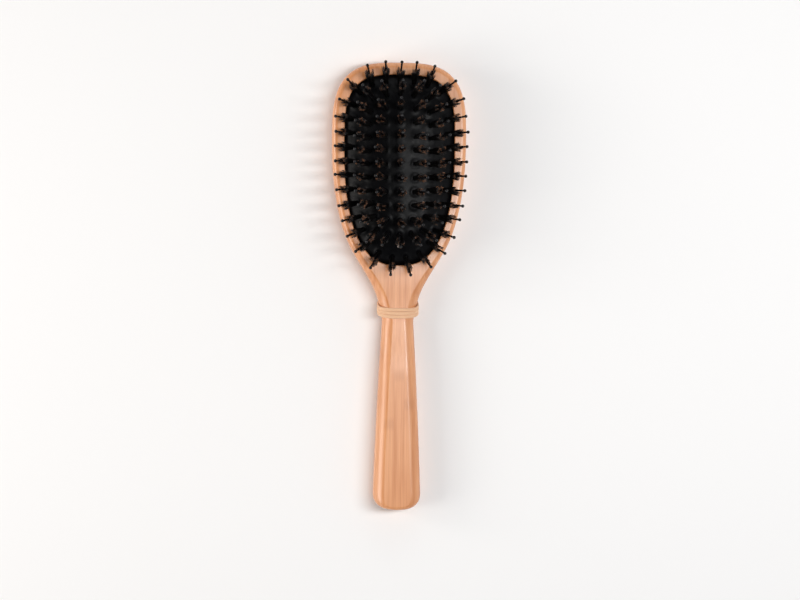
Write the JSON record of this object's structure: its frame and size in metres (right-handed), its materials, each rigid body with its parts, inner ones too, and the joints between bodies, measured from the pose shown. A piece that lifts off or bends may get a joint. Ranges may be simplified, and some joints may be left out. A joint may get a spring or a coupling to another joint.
{
  "type": "paddle hairbrush",
  "caption": "Wooden paddle hairbrush with a domed rubber cushion, rows of boar bristle tufts with ball-tipped nylon pins, and an elastic loop round the neck.",
  "frame": {"origin": "centre of the brush's outline, on the plane that its flat back rests on", "axes": "+Y from the handle's end to the top of the head, +Z out of the bristles, +X across the head"},
  "size_m": [0.072, 0.24, 0.0397],
  "materials": {
    "bamboo": "clear satin lacquer over fine lengthwise grain",
    "cushion_rubber": "satin moulded black rubber",
    "elastic": "flat braided elastic, matte",
    "nylon": "glossy black moulded nylon",
    "boar_bristle": "natural boar bristle, black with tan tips"
  },
  "bodies": {
    "handle": {"paddle_board": "bamboo", "neck_band": "elastic"},
    "pin_field": {"cushion_membrane": "cushion_rubber", "pin_ring": "nylon", "bristle_ring": "boar_bristle", "pin_row_01": "nylon", "pin_row_02": "nylon", "pin_row_03": "nylon", "pin_row_04": "nylon", "pin_row_05": "nylon", "pin_row_06": "nylon", "pin_row_07": "nylon", "pin_row_08": "nylon", "pin_row_09": "nylon", "pin_row_10": "nylon", "pin_row_11": "nylon", "bristle_row_01": "boar_bristle", "bristle_row_02": "boar_bristle", "bristle_row_03": "boar_bristle", "bristle_row_04": "boar_bristle", "bristle_row_05": "boar_bristle", "bristle_row_06": "boar_bristle", "bristle_row_07": "boar_bristle", "bristle_row_08": "boar_bristle", "bristle_row_09": "boar_bristle", "bristle_row_10": "boar_bristle", "bristle_row_11": "boar_bristle"}
  },
  "joints": [
    {"name": "cushion_press", "type": "slide", "parent": "handle", "child": "pin_field", "axis": [0, 0, 1], "range_m": [-0.0028, 0], "stiffness_N_per_m": 1500, "springref_m": 0.0005, "deforming": ["cushion_membrane"]}
  ]
}
